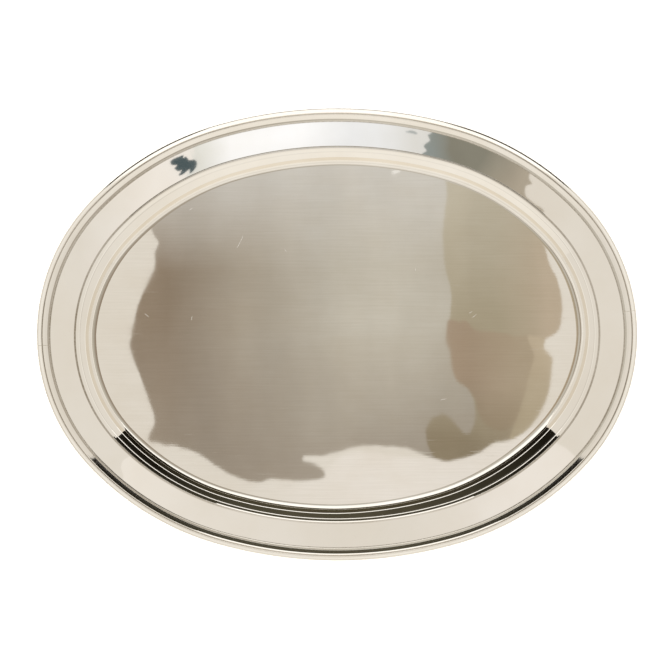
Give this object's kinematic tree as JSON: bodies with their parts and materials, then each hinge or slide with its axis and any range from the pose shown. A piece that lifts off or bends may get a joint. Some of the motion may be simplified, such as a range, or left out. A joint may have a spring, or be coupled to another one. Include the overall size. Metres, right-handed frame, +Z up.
{
  "type": "oval serving tray",
  "caption": "Shallow oval metal serving tray with a flat brushed well, a stepped wall, a flat flange and a reeded border.",
  "frame": {"origin": "centre of the well's flat underside, the face the tray stands on", "axes": "+X along the tray's length, +Y across its width towards the back, +Z up out of the well"},
  "size_m": [0.406, 0.306, 0.0126],
  "materials": {
    "plated_sheet": "polished",
    "plated_border": "polished",
    "soft_solder": "satin"
  },
  "bodies": {
    "root": {"tray_body": "plated_sheet", "rim_moulding_front": "plated_border", "rim_moulding_back": "plated_border", "rim_solder_bed": "soft_solder", "butt_solder_left": "soft_solder", "butt_solder_right": "soft_solder"}
  },
  "joints": []
}
